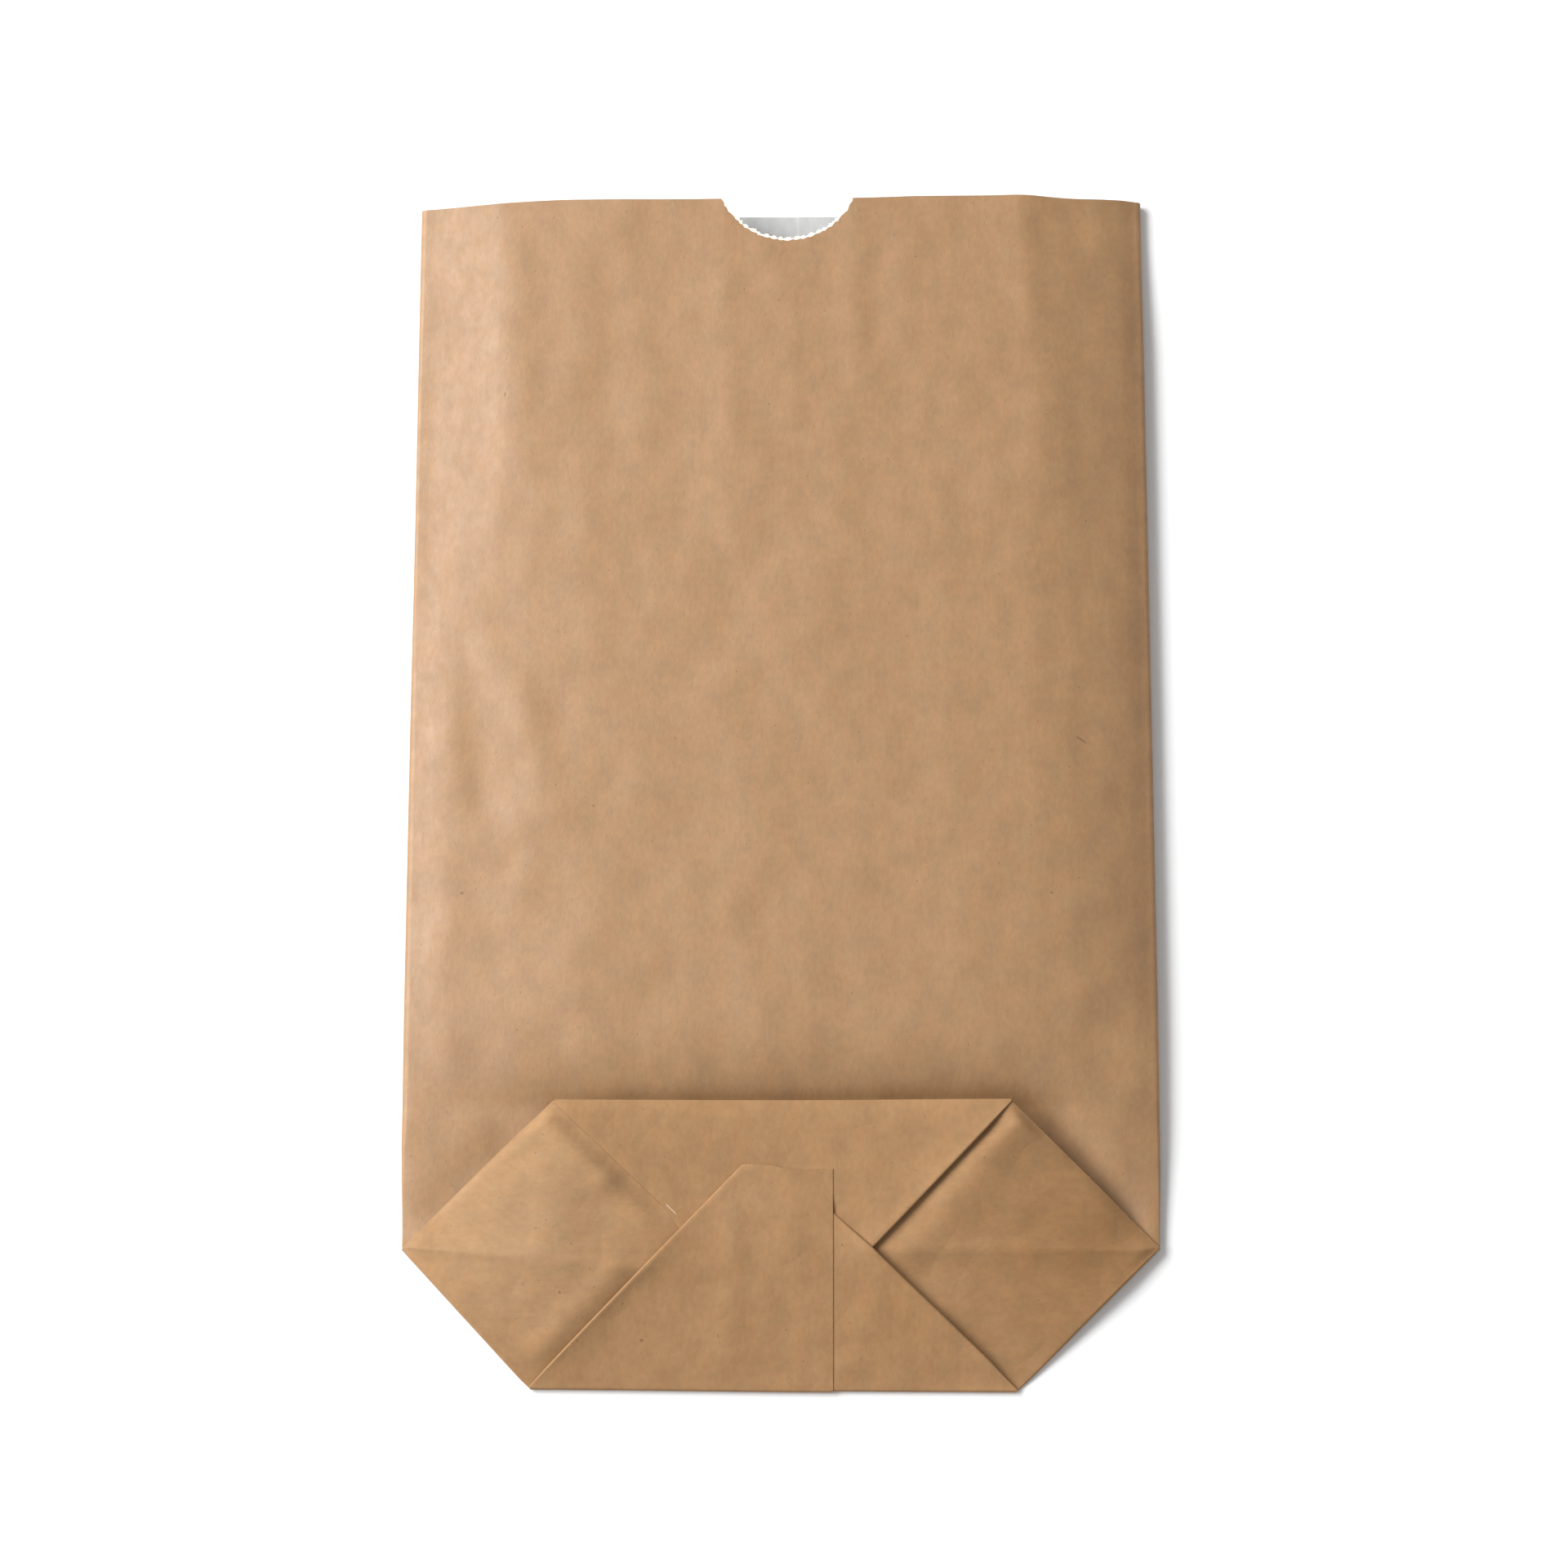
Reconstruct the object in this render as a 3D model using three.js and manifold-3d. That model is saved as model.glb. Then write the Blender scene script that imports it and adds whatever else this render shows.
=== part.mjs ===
// A brown paper lunch bag with a folded cross bottom, lying empty on its back.
//
// The bag is one sheet of kraft paper, brown outside and white inside. It is glued into a tube
// along a seam in the back wall, and the closed end is folded into a six-sided bottom that lies
// on the front wall. From the table up, the plies of the bottom are: the back wall, the front
// wall, the front wall turned back on itself, the two corner pockets, and the upper and lower
// flaps with the pocket edges turned in under them.
//
// Millimetres. X runs across the bag, +Y points to the mouth and +Z is up. While the sheet is
// being shaped, y = 0 is the crease between the two side tips of the bottom. At the end the bag
// is moved so that its origin is the middle of the footprint, on the table.
import * as THREE from 'three';
import { mergeVertices } from 'three/addons/utils/BufferGeometryUtils.js';
import Module from 'manifold-3d';

const wasm = await Module();
wasm.setup();

// The paper and its blank.
const BAG_WIDTH = 160;
const PAPER = 0.16;
const MOUTH_Y = 228.55;
const BACK_MOUTH_DROP = 1.5;
const BOTTOM_HALF = 30; // from the tip crease to the folds at the two long edges of the bottom
const FLAP_LENGTH = 45.8; // from those folds to the cut edge of each flap

// The glued seam in the back wall: the left ply lies outside the right one.
const SEAM_EDGE_X = 10.9;
const SEAM_STEP = 0.05; // width of the cut edge of a ply
const SEAM_RUN_OUT = 1.6; // the right ply comes back level with the left one over this width

// The half-round thumb notch in the front wall, with its pinked edge.
const NOTCH_CENTRE = new THREE.Vector2(1.5, MOUTH_Y + 6.5);
const NOTCH_RADIUS = 15.7;
const NOTCH_TEETH = 58; // all round the full circle
const NOTCH_TOOTH_DEPTH = 0.5;

// How far the bag stands open.
const BELLY = 8.7; // gap between the walls over most of the bag
const BELLY_UNDER_BOTTOM = 3.1; // gap under the upper edge of the bottom
const BELLY_AT_CREASE = 2.2; // gap at the middle of the tip crease
const BELLY_START_Y = 30;
const BELLY_FULL_Y = 54;
const BELLY_LEFT = 48;
const BELLY_RIGHT = 58;
const TIP_GAP = 0.5; // gap between the walls at the two tips
const LEFT_FOLD_GAP = 2.4;
const RIGHT_FOLD_GAP = 1.8;
const FOLD_OPENS_OVER = 30;
const LEFT_LIFT = { start: 62, height: 0.7 };
const RIGHT_LIFT = { start: 56, height: 3.2 };
const BOTTOM_LIFT_SHARE = 0.55; // the sides curl up less where the folded bottom weighs them down

// Heights of the plies of the bottom, from ply centre to ply centre.
const CREASE_GAP = 0.55; // the front wall turned back on itself at the tip crease
const BOARD_RISE = 1.8; // the bottom tilts up by this much towards its upper edge
const POCKET_GAP = 0.4;
const POCKET_SAG = 1.9; // the pockets come down by this much towards the lower edge
const PLY_STEP = 0.35;

const SIDE_TIP = BAG_WIDTH / 2 - 0.65; // the tips' folds are centred this far inside the sides
const CORNER_X = SIDE_TIP - BOTTOM_HALF; // the corners of the bottom, at the ends of its long edges
const POCKET_END_X = CORNER_X - FLAP_LENGTH; // the pockets stop short of the middle

// Columns that every ply shares, so that neighbouring pieces of the sheet meet point to point.
const SHARED_COLUMNS = [POCKET_END_X, 20, 30, 40, CORNER_X, 57, 65, 73, SIDE_TIP];
const COLUMNS = [
  ...SHARED_COLUMNS.map((x) => -x),
  -POCKET_END_X + SEAM_STEP,
  ...SHARED_COLUMNS,
  SEAM_EDGE_X,
  SEAM_EDGE_X + SEAM_STEP,
  SEAM_EDGE_X + SEAM_RUN_OUT,
].sort((a, b) => a - b);

// Rows of the tube from the tip crease to the mouth.
const TUBE_ROWS = [0, 4, 9, 15, 22, 30, 36, 42, 48, 54, 90, 135, 180, MOUTH_Y];

const FOLD_STEPS = 4;
const TUBE_FOLD_STEPS = 5;
const WELD = 1e-4; // points closer than this are one point

const { lerp, smoothstep, clamp } = THREE.MathUtils;
const columnsBetween = (a, b) => COLUMNS.filter((x) => x >= a && x <= b);

// ---------------------------------------------------------------- heights of the plies

// The outer face of the back wall: flat on the table, with its sides curling up.
function backHeight(x, y) {
  const lift = x < 0 ? LEFT_LIFT : RIGHT_LIFT;
  const share = clamp((Math.abs(x) - lift.start) / (BAG_WIDTH / 2 - lift.start), 0, 1);
  const along = lerp(BOTTOM_LIFT_SHARE, 1, smoothstep(y, 0, 2 * BOTTOM_HALF));
  return lift.height * share * share * along;
}

function sideFoldGap(x, y) {
  const open = x < 0 ? LEFT_FOLD_GAP : RIGHT_FOLD_GAP;
  return lerp(TIP_GAP, open, smoothstep(y, 0, FOLD_OPENS_OVER));
}

// The side folds are round, and their backs keep the bag's width as they open.
function sideFoldCentre(x, y) {
  const open = (BAG_WIDTH - sideFoldGap(x, y) - PAPER) / 2;
  return lerp(SIDE_TIP, open, smoothstep(y, 0, FOLD_OPENS_OVER));
}

// The gap between the back wall and the front wall, centre to centre.
function wallGap(x, y) {
  const underBottom = lerp(BELLY_AT_CREASE, BELLY_UNDER_BOTTOM, Math.min(y / BELLY_START_Y, 1));
  const belly = lerp(underBottom, BELLY, smoothstep(y, BELLY_START_Y, BELLY_FULL_Y));
  const flatTo = x < 0 ? BELLY_LEFT : BELLY_RIGHT;
  const across = 1 - smoothstep(Math.abs(x), flatTo, SIDE_TIP);
  return lerp(sideFoldGap(x, y), belly, across);
}

const backCentre = (x, y) => backHeight(x, y) + PAPER / 2;
const frontCentre = (x, y) => backCentre(x, y) + wallGap(x, y);
const boardCentre = (x, y) =>
  backCentre(x, y) + wallGap(x, 0) + CREASE_GAP + (BOARD_RISE * y) / BOTTOM_HALF;

function pocketCentre(x, y) {
  const above = boardCentre(x, Math.max(y, 0)) + POCKET_GAP;
  return above + (POCKET_SAG * Math.min(y, 0)) / BOTTOM_HALF;
}

const upperTuckCentre = (x, y) => pocketCentre(x, y) + PLY_STEP;
const upperFlapCentre = (x, y) => pocketCentre(x, y) + 2 * PLY_STEP;
const lowerTuckCentre = (x, y) => pocketCentre(x, y) + 3 * PLY_STEP;
const lowerFlapOuter = (x, y) => pocketCentre(x, y) + 4 * PLY_STEP + PAPER;

// Depths of the two faces of the back wall below its outer face, with the plies of the seam.
function seamOuterDepth(x) {
  const past = x - SEAM_EDGE_X - SEAM_STEP;
  if (past < -SEAM_STEP / 2) return 0;
  return PAPER * clamp(1 - past / (SEAM_RUN_OUT - SEAM_STEP), 0, 1);
}

function seamInnerDepth(x) {
  if (x <= -POCKET_END_X) return PAPER;
  if (x <= SEAM_EDGE_X) return 2 * PAPER;
  return PAPER + seamOuterDepth(x);
}

// The two faces of a plain ply with the given centre height.
const ply = (centre) => ({
  low: (x, y) => centre(x, y) - PAPER / 2,
  high: (x, y) => centre(x, y) + PAPER / 2,
});

const backWall = {
  low: (x, y) => backHeight(x, y) + seamOuterDepth(x),
  high: (x, y) => backHeight(x, y) + seamInnerDepth(x),
};
const lowerFlap = {
  low: (x, y) => lowerFlapOuter(x, y) - seamInnerDepth(x),
  high: (x, y) => lowerFlapOuter(x, y) - seamOuterDepth(x),
};
const frontWall = ply(frontCentre);
const board = ply(boardCentre);
const pocket = ply(pocketCentre);
const upperTuck = ply(upperTuckCentre);
const upperFlap = ply(upperFlapCentre);
const lowerTuck = ply(lowerTuckCentre);

// ---------------------------------------------------------------- pieces of sheet

// The paper is built from small blocks, each with four corners on one face of the sheet and the
// same four on the other. A ring closes on itself across the columns.
function blocksBetween(firstFace, secondFace, ring = false) {
  const columns = firstFace[0].length;
  const across = ring ? columns : columns - 1;
  const blocks = [];
  for (let row = 0; row + 1 < firstFace.length; row++) {
    for (let column = 0; column < across; column++) {
      const next = (column + 1) % columns;
      const corners = (face) => [
        face[row][column],
        face[row][next],
        face[row + 1][next],
        face[row + 1][column],
      ];
      blocks.push([...corners(firstFace), ...corners(secondFace)]);
    }
  }
  return blocks;
}

// The six faces of a block, by corner number. Both sheet faces split along the same diagonal.
const BLOCK_FACES = [
  [0, 1, 2, 3],
  [4, 7, 6, 5],
  [1, 0, 4, 5],
  [2, 1, 5, 6],
  [3, 2, 6, 7],
  [0, 3, 7, 4],
];

// Whether a block's first face, as its corners run, faces away from the second one.
function facesOutward(block) {
  const across = (i, j) => block[j].clone().sub(block[i]);
  const normal = across(0, 2).cross(across(1, 3));
  const through = across(0, 4).add(across(1, 5)).add(across(2, 6)).add(across(3, 7));
  return normal.dot(through) < 0;
}

// Joins blocks into one solid: a face that two blocks share is inside the paper and is dropped.
function solidFromBlocks(blocks) {
  const numbers = new Map();
  const position = [];
  const numberOf = (point) => {
    const key = point.toArray().map((v) => Math.round(v / WELD)).join();
    if (!numbers.has(key)) {
      numbers.set(key, numbers.size);
      position.push(...point.toArray());
    }
    return numbers.get(key);
  };
  const faces = new Map();
  for (const block of blocks) {
    const outward = facesOutward(block);
    for (const face of BLOCK_FACES) {
      const corners = face.map((i) => numberOf(block[i])).filter((n, i, all) => n !== all.at(i - 1));
      if (corners.length < 3) continue;
      const key = [...corners].sort((a, b) => a - b).join();
      if (faces.has(key)) faces.delete(key);
      else faces.set(key, outward ? corners : corners.reverse());
    }
  }
  const index = [...faces.values()].flatMap(([a, b, c, d]) =>
    d === undefined ? [a, b, c] : [a, b, c, a, c, d],
  );
  return solidFrom(position, index);
}

function solidFrom(position, index) {
  const vertProperties = new Float32Array(position);
  const triVerts = new Uint32Array(index);
  return new wasm.Manifold(new wasm.Mesh({ numProp: 3, vertProperties, triVerts }));
}

// A three.js geometry as a solid, with its shared points merged.
function solidFromGeometry(geometry) {
  geometry.deleteAttribute('normal');
  geometry.deleteAttribute('uv');
  const merged = mergeVertices(geometry);
  return solidFrom(merged.attributes.position.array, merged.index.array);
}

// A flat-lying panel: for each column, y runs from lowY(x) to highY(x).
function panel(faces, columns, lowY, highY, rows) {
  const face = (height) =>
    Array.from({ length: rows + 1 }, (_, row) =>
      columns.map((x) => {
        const y = lerp(lowY(x), highY(x), row / rows);
        return new THREE.Vector3(x, y, height(x, y));
      }),
    );
  return blocksBetween(face(faces.high), face(faces.low));
}

// A fold: half a tube from the lower panel's rim round to the upper panel's, along the points
// (x, line(x)), bulging towards `outward`.
function fold(lower, upper, columns, line, outward) {
  const face = (lowerFace, upperFace) =>
    Array.from({ length: FOLD_STEPS + 1 }, (_, step) => {
      const angle = (Math.PI * step) / FOLD_STEPS - Math.PI / 2;
      return columns.map((x) => {
        const y = line(x);
        const bottom = lowerFace(x, y);
        const top = upperFace(x, y);
        const reach = ((top - bottom) / 2) * Math.cos(angle);
        const height = (top + bottom) / 2 + ((top - bottom) / 2) * Math.sin(angle);
        return new THREE.Vector3(x + outward.x * reach, y + outward.y * reach, height);
      });
    });
  return blocksBetween(face(lower.low, upper.high), face(lower.high, upper.low));
}

// ---------------------------------------------------------------- the tube

// One face of the tube, as a ring at each row: the back wall, the right fold, the front wall and
// the left fold. `side` is 1 for the outer face and -1 for the inner one.
function tubeFace(side) {
  const outer = side > 0;
  const backFace = outer ? backWall.low : backWall.high;
  const frontFace = outer ? frontWall.high : frontWall.low;
  return TUBE_ROWS.map((y) => {
    const backY = y - BACK_MOUTH_DROP * smoothstep(y, TUBE_ROWS.at(-2), MOUTH_Y);
    const tubeColumns = COLUMNS.map((x) => {
      const share = (Math.abs(x) - CORNER_X) / (SIDE_TIP - CORNER_X);
      return share > 0 ? Math.sign(x) * lerp(CORNER_X, sideFoldCentre(x, y), share) : x;
    });
    const sideArc = (x) => {
      const direction = Math.sign(x);
      const bottom = backFace(x, y);
      const top = frontFace(x, y);
      const radius = (top - bottom) / 2;
      return Array.from({ length: TUBE_FOLD_STEPS - 1 }, (_, step) => {
        const angle = (Math.PI * (step + 1)) / TUBE_FOLD_STEPS - Math.PI / 2;
        return new THREE.Vector3(
          x + direction * radius * Math.cos(angle),
          lerp(backY, y, (step + 1) / TUBE_FOLD_STEPS),
          bottom + radius * (1 + Math.sin(angle)),
        );
      });
    };
    const back = tubeColumns.map((x) => new THREE.Vector3(x, backY, backFace(x, y)));
    const front = tubeColumns.map((x) => new THREE.Vector3(x, y, frontFace(x, y)));
    const rightArc = sideArc(tubeColumns.at(-1));
    const leftArc = sideArc(tubeColumns[0]);
    return [...back, ...rightArc, ...front.reverse(), ...leftArc.reverse()];
  });
}

// The pinked round cutter of the thumb notch, which goes through the front wall alone.
function notchCutter() {
  const outline = new THREE.Shape();
  for (let i = 0; i < 2 * NOTCH_TEETH; i++) {
    const angle = (Math.PI * i) / NOTCH_TEETH;
    const radius = NOTCH_RADIUS - (i % 2) * NOTCH_TOOTH_DEPTH;
    const x = NOTCH_CENTRE.x + radius * Math.cos(angle);
    const y = NOTCH_CENTRE.y + radius * Math.sin(angle);
    if (i === 0) outline.moveTo(x, y);
    else outline.lineTo(x, y);
  }
  const disc = new THREE.ExtrudeGeometry(outline, { depth: BELLY, bevelEnabled: false });
  disc.translate(0, 0, BELLY / 2);
  return solidFromGeometry(disc);
}

// ---------------------------------------------------------------- the folded bottom

const toUpperDiagonal = (x) => Math.min(BOTTOM_HALF, SIDE_TIP - Math.abs(x));
const toLowerDiagonal = (x) => -toUpperDiagonal(x);
const tipCrease = () => 0;
const upperEdge = () => BOTTOM_HALF;
const lowerEdge = () => -BOTTOM_HALF;
const upperFlapEdge = (x) => BOTTOM_HALF - Math.min(CORNER_X - Math.abs(x), FLAP_LENGTH);
const lowerTuckEdge = (x) => -upperFlapEdge(x);

// The left ply of the seam runs straight to its cut edge. The right ply turns in along its
// own diagonal.
const lowerFlapEdge = (x) =>
  x <= SEAM_EDGE_X ? Math.min(CORNER_X + x, FLAP_LENGTH) - BOTTOM_HALF : lowerTuckEdge(x);

// One side of the bottom: the pocket, the pocket edges tucked in under the flaps, and the folds
// between them.
function bottomSide(side) {
  const span = (near, far) =>
    side < 0 ? columnsBetween(-far, -near) : columnsBetween(near, far);
  const all = span(POCKET_END_X, SIDE_TIP);
  const beyondCorner = span(CORNER_X, SIDE_TIP);
  const withinCorner = span(POCKET_END_X, CORNER_X);
  const besideSeam = side < 0 ? withinCorner : span(SEAM_EDGE_X + SEAM_STEP, CORNER_X);
  const slant = Math.SQRT1_2;
  const upOut = { x: side * slant, y: slant };
  const downOut = { x: side * slant, y: -slant };
  return [
    ...panel(pocket, all, toLowerDiagonal, toUpperDiagonal, 4),
    ...fold(board, pocket, beyondCorner, toUpperDiagonal, upOut),
    ...fold(backWall, pocket, beyondCorner, toLowerDiagonal, downOut),
    ...fold(pocket, upperTuck, withinCorner, upperEdge, { x: 0, y: 1 }),
    ...fold(pocket, lowerTuck, withinCorner, lowerEdge, { x: 0, y: -1 }),
    ...panel(upperTuck, withinCorner, upperFlapEdge, upperEdge, 3),
    ...panel(lowerTuck, withinCorner, lowerEdge, lowerTuckEdge, 3),
    ...fold(upperTuck, upperFlap, withinCorner, upperFlapEdge, downOut),
    ...fold(lowerTuck, lowerFlap, besideSeam, lowerFlapEdge, upOut),
  ];
}

// The plies that run across the whole bottom, and the folds at its long edges.
function bottomPlies() {
  const within = columnsBetween(-CORNER_X, CORNER_X);
  return [
    ...panel(backWall, COLUMNS, toLowerDiagonal, tipCrease, 2),
    ...fold(frontWall, board, COLUMNS, tipCrease, { x: 0, y: -1 }),
    ...panel(board, COLUMNS, tipCrease, toUpperDiagonal, 3),
    ...fold(board, upperFlap, within, upperEdge, { x: 0, y: 1 }),
    ...panel(upperFlap, within, upperFlapEdge, upperEdge, 4),
    ...fold(backWall, lowerFlap, within, lowerEdge, { x: 0, y: -1 }),
    ...panel(lowerFlap, within, lowerEdge, lowerFlapEdge, 4),
  ];
}

// Glue joins the flaps to each other and to the pockets. A patch reaches half way into the
// plies above and below it.
function gluePatch([left, right], [bottom, top], lowerCentre, upperCentre) {
  const faces = { low: lowerCentre, high: upperCentre };
  const columns = [left, (left + right) / 2, right];
  return solidFromBlocks(panel(faces, columns, () => bottom, () => top, 2));
}

function glue() {
  const lowerFlapCentre = (x, y) => lowerFlapOuter(x, y) - PAPER / 2;
  return [
    gluePatch([-6, -4.5], [-9, 9], upperFlapCentre, lowerFlapCentre),
    gluePatch([4.5, 6], [-9, 9], upperTuckCentre, lowerFlapCentre),
    gluePatch([-36, -24], [-27, -22], pocketCentre, lowerTuckCentre),
    gluePatch([24, 36], [-27, -22], pocketCentre, lowerTuckCentre),
    gluePatch([-36, -24], [22, 27], pocketCentre, upperFlapCentre),
    gluePatch([24, 36], [22, 27], pocketCentre, upperFlapCentre),
  ];
}

// Where several folds meet, the paper is pressed solid.
function pressedCorner(x, y, low, high, radius) {
  const inset = 0.6;
  const post = new THREE.CylinderGeometry(radius, radius, high - low, 8);
  post.rotateX(Math.PI / 2);
  post.translate(x - Math.sign(x) * inset, y - Math.sign(y) * inset, (high + low) / 2);
  return solidFromGeometry(post);
}

function pressedCorners(side) {
  const tip = side * SIDE_TIP;
  const corner = side * CORNER_X;
  const top = BOTTOM_HALF;
  return [
    pressedCorner(tip, 0, backCentre(tip, 0), pocketCentre(tip, 0), 0.9),
    pressedCorner(corner, top, boardCentre(corner, top), upperFlapCentre(corner, top), 0.7),
    pressedCorner(corner, -top, backCentre(corner, -top), lowerFlapOuter(corner, -top) - PAPER / 2, 0.9),
  ];
}

// ---------------------------------------------------------------- the whole bag

function paperBag() {
  const sheet = solidFromBlocks([
    ...blocksBetween(tubeFace(1), tubeFace(-1), true),
    ...bottomPlies(),
    ...bottomSide(-1),
    ...bottomSide(1),
  ]);
  const joints = [...glue(), ...pressedCorners(-1), ...pressedCorners(1)];
  return joints.reduce((whole, joint) => whole.add(joint), sheet.subtract(notchCutter()));
}

function meshFrom(solid, name, material) {
  const { vertProperties, triVerts } = solid.getMesh();
  const geometry = new THREE.BufferGeometry();
  geometry.setAttribute('position', new THREE.BufferAttribute(vertProperties, 3));
  geometry.setIndex(new THREE.BufferAttribute(triVerts, 1));
  geometry.computeBoundingBox();
  const { min, max } = geometry.boundingBox;
  geometry.translate(-(min.x + max.x) / 2, -(min.y + max.y) / 2, -min.z);
  geometry.computeVertexNormals();
  const mesh = new THREE.Mesh(geometry, material);
  mesh.name = name;
  return mesh;
}

const kraftPaper = new THREE.MeshStandardMaterial({ color: 0xc39a6e, roughness: 0.8, metalness: 0 });

const group = new THREE.Group();
group.add(meshFrom(paperBag(), 'paper_bag', kraftPaper));

export default group;
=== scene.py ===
"""A small brown paper bag with a folded cross bottom, lying on its back on a pale floor.

The bag is one sheet of kraft paper, brown outside and white inside. Its plies are worked out in
millimetres: x across the bag, y from the crease between the two tips of the bottom up to the
mouth, and z up from the floor.
"""

import math

import bmesh
import bpy
import numpy as np
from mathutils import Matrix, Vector


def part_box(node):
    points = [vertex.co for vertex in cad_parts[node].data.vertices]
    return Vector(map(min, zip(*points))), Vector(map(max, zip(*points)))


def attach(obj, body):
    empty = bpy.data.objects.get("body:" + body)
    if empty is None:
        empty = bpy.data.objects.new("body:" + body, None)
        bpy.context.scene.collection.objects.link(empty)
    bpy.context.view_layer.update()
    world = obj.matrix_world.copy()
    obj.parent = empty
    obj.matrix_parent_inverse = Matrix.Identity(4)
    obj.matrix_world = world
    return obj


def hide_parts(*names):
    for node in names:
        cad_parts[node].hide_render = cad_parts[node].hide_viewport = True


MM = 0.001
NODE = "paper_bag"

# The paper and its outline.
PAPER = 0.16
BAG_WIDTH = 160
SIDE_TIP = 79.35  # half the width, to the centres of the side folds
MOUTH_Y = 230.7
BACK_MOUTH_DROP = 1.2
BACK_LEVEL_TO = 64  # from here out, the back's cut edge comes up to meet the front's
TIP_CREASE_UP = 29.8  # height of the tip crease above the bag's lower end

# The folded bottom: its upper and lower long edges and the corners at their ends.
UPPER_Y = 30.0
LOWER_Y = -28.9  # at its left end; the lower edge isn't quite square
LOWER_RIGHT_Y = -29.5
UPPER_LEFT_X, UPPER_RIGHT_X = -47.6, 48.3
LOWER_LEFT_X, LOWER_RIGHT_X = -52.2, 49.2
POCKET_END_X = 3.55
FLAP_LENGTH = 45.8
FREE_CORNER_X = -24.0  # where the upper flap's left fold ends and its free edge begins
UPPER_LEFT_SLOPE, UPPER_RIGHT_SLOPE = 0.932, 1.029  # of the upper flap's slanting edges
FREE_EDGE_SLOPE = 0.55  # by which the free edge is steeper than the fold before it
LOWER_LEFT_SLOPE, LOWER_RIGHT_SLOPE = 1.024, 0.946  # and of the lower flap's
LOWER_FLAP_LENGTH = 44.9
LOWER_TAB = 0.7  # the left part of the lower flap's cut edge reaches further up by this,
TAB_END_X, TAB_FOOT_X = -1.4, 0.4  # and comes down to the right part between these
SEAM_X = 10.9
SEAM_OVERLAP = 7.0
SEAM_STEP = 0.25
SEAM_RUN_OUT = 1.6
SEAM_PLY = 1.05 * PAPER  # how far the right ply of the seam lies inside the left one

# The thumb notch.
NOTCH_X, NOTCH_Y = 1.5, MOUTH_Y + 6.1
NOTCH_RADIUS = 15.7
NOTCH_HALF_WIDTH = math.sqrt(NOTCH_RADIUS**2 - (NOTCH_Y - MOUTH_Y) ** 2)
TEAR_WIDTH = 0.45  # of the white torn edge that shows beyond the brown face
TOOTH_PITCH = 1.7
TOOTH_DEPTH = 0.28
TEAR_WANDER = 0.15  # how far the tear strays from the arc
TEAR_OVERLAP = 0.12  # how far the torn rim reaches over the brown face
TEAR_RISE = (0.02, 0.05, -0.02)  # of the rim above the brown face, from outside to inside
TOOTH_JITTER = 0.4
TEAR_STEPS_PER_MM = 4
TEAR_SEED = 11

# How finely the paper is divided.
COLUMN_STEP = 1.5
NOTCH_STEPS = 22
FOLD_STEPS = 7
BACK_ROWS, BOARD_ROWS, POCKET_ROWS, TUCK_ROWS = 8, 12, 60, 6
FLAP_ROWS, LEFT_FLAP_ROWS = 24, 36
FOLD_REACH = 0.5  # the furthest that a fold of the bottom bulges out
SIDE_FOLD_PAPER = 0.5  # paper taken up on the blank by a side fold
SPREAD_FROM = 50  # the columns further out than this spread to follow the side folds
MOUTH_ROWS = 12  # rows of the back wall that bend to follow its cut edge
SLIVER = 0.1  # thickness of a strip of white paper laid along an edge
SLIVER_RISE = 0.04
SLIVER_STEPS = 12
WELD = 1e-4  # points that agree to this are joined
SAME_COLUMN = 1e-6
SLANT = math.sqrt(0.5)  # what a millimetre at 45 degrees comes to in x and in y


# ------------------------------------------------------------------ curves


def lerp(start, end, share):
    return start + (end - start) * share


def smoothstep(value, start, end):
    share = np.clip((value - start) / (end - start), 0, 1)
    return share * share * (3 - 2 * share)


def soft_curve(knots, softness):
    """A curve through about the given (position, value) knots, rounded over softness mm."""
    positions, values = zip(*knots)
    step = 0.25
    reach = 4 * softness
    fine = np.arange(positions[0] - 2 * reach, positions[-1] + 2 * reach, step)
    weights = np.exp(-0.5 * (np.arange(-reach, reach + step, step) / softness) ** 2)
    rounded = np.convolve(np.interp(fine, positions, values), weights / weights.sum(), "same")
    return lambda x: np.interp(x, fine, rounded)


def ridge(x, y, start, end, width, height, sharp=False):
    """A soft ridge (or a dent, where height is negative) along a line from start to end."""
    start, end = np.array(start), np.array(end)
    along = end - start
    length = np.hypot(*along)
    unit = along / length
    forward = (x - start[0]) * unit[0] + (y - start[1]) * unit[1]
    past = np.maximum(np.maximum(-forward, forward - length), 0)
    aside = (x - start[0]) * unit[1] - (y - start[1]) * unit[0]
    if sharp:
        return height * np.exp(-np.hypot(aside, past) / width)
    return height * np.exp(-0.5 * (aside**2 + past**2) / width**2)


def relief(x, y, ridges, creases=()):
    """The sum of soft ridges and of sharp creases, whose two sides meet in an edge."""
    total = np.zeros(np.broadcast(x, y).shape)
    for one in ridges:
        total = total + ridge(x, y, *one)
    for one in creases:
        total = total + ridge(x, y, *one, sharp=True)
    return total


# ------------------------------------------------------------------ heights of the walls

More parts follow.
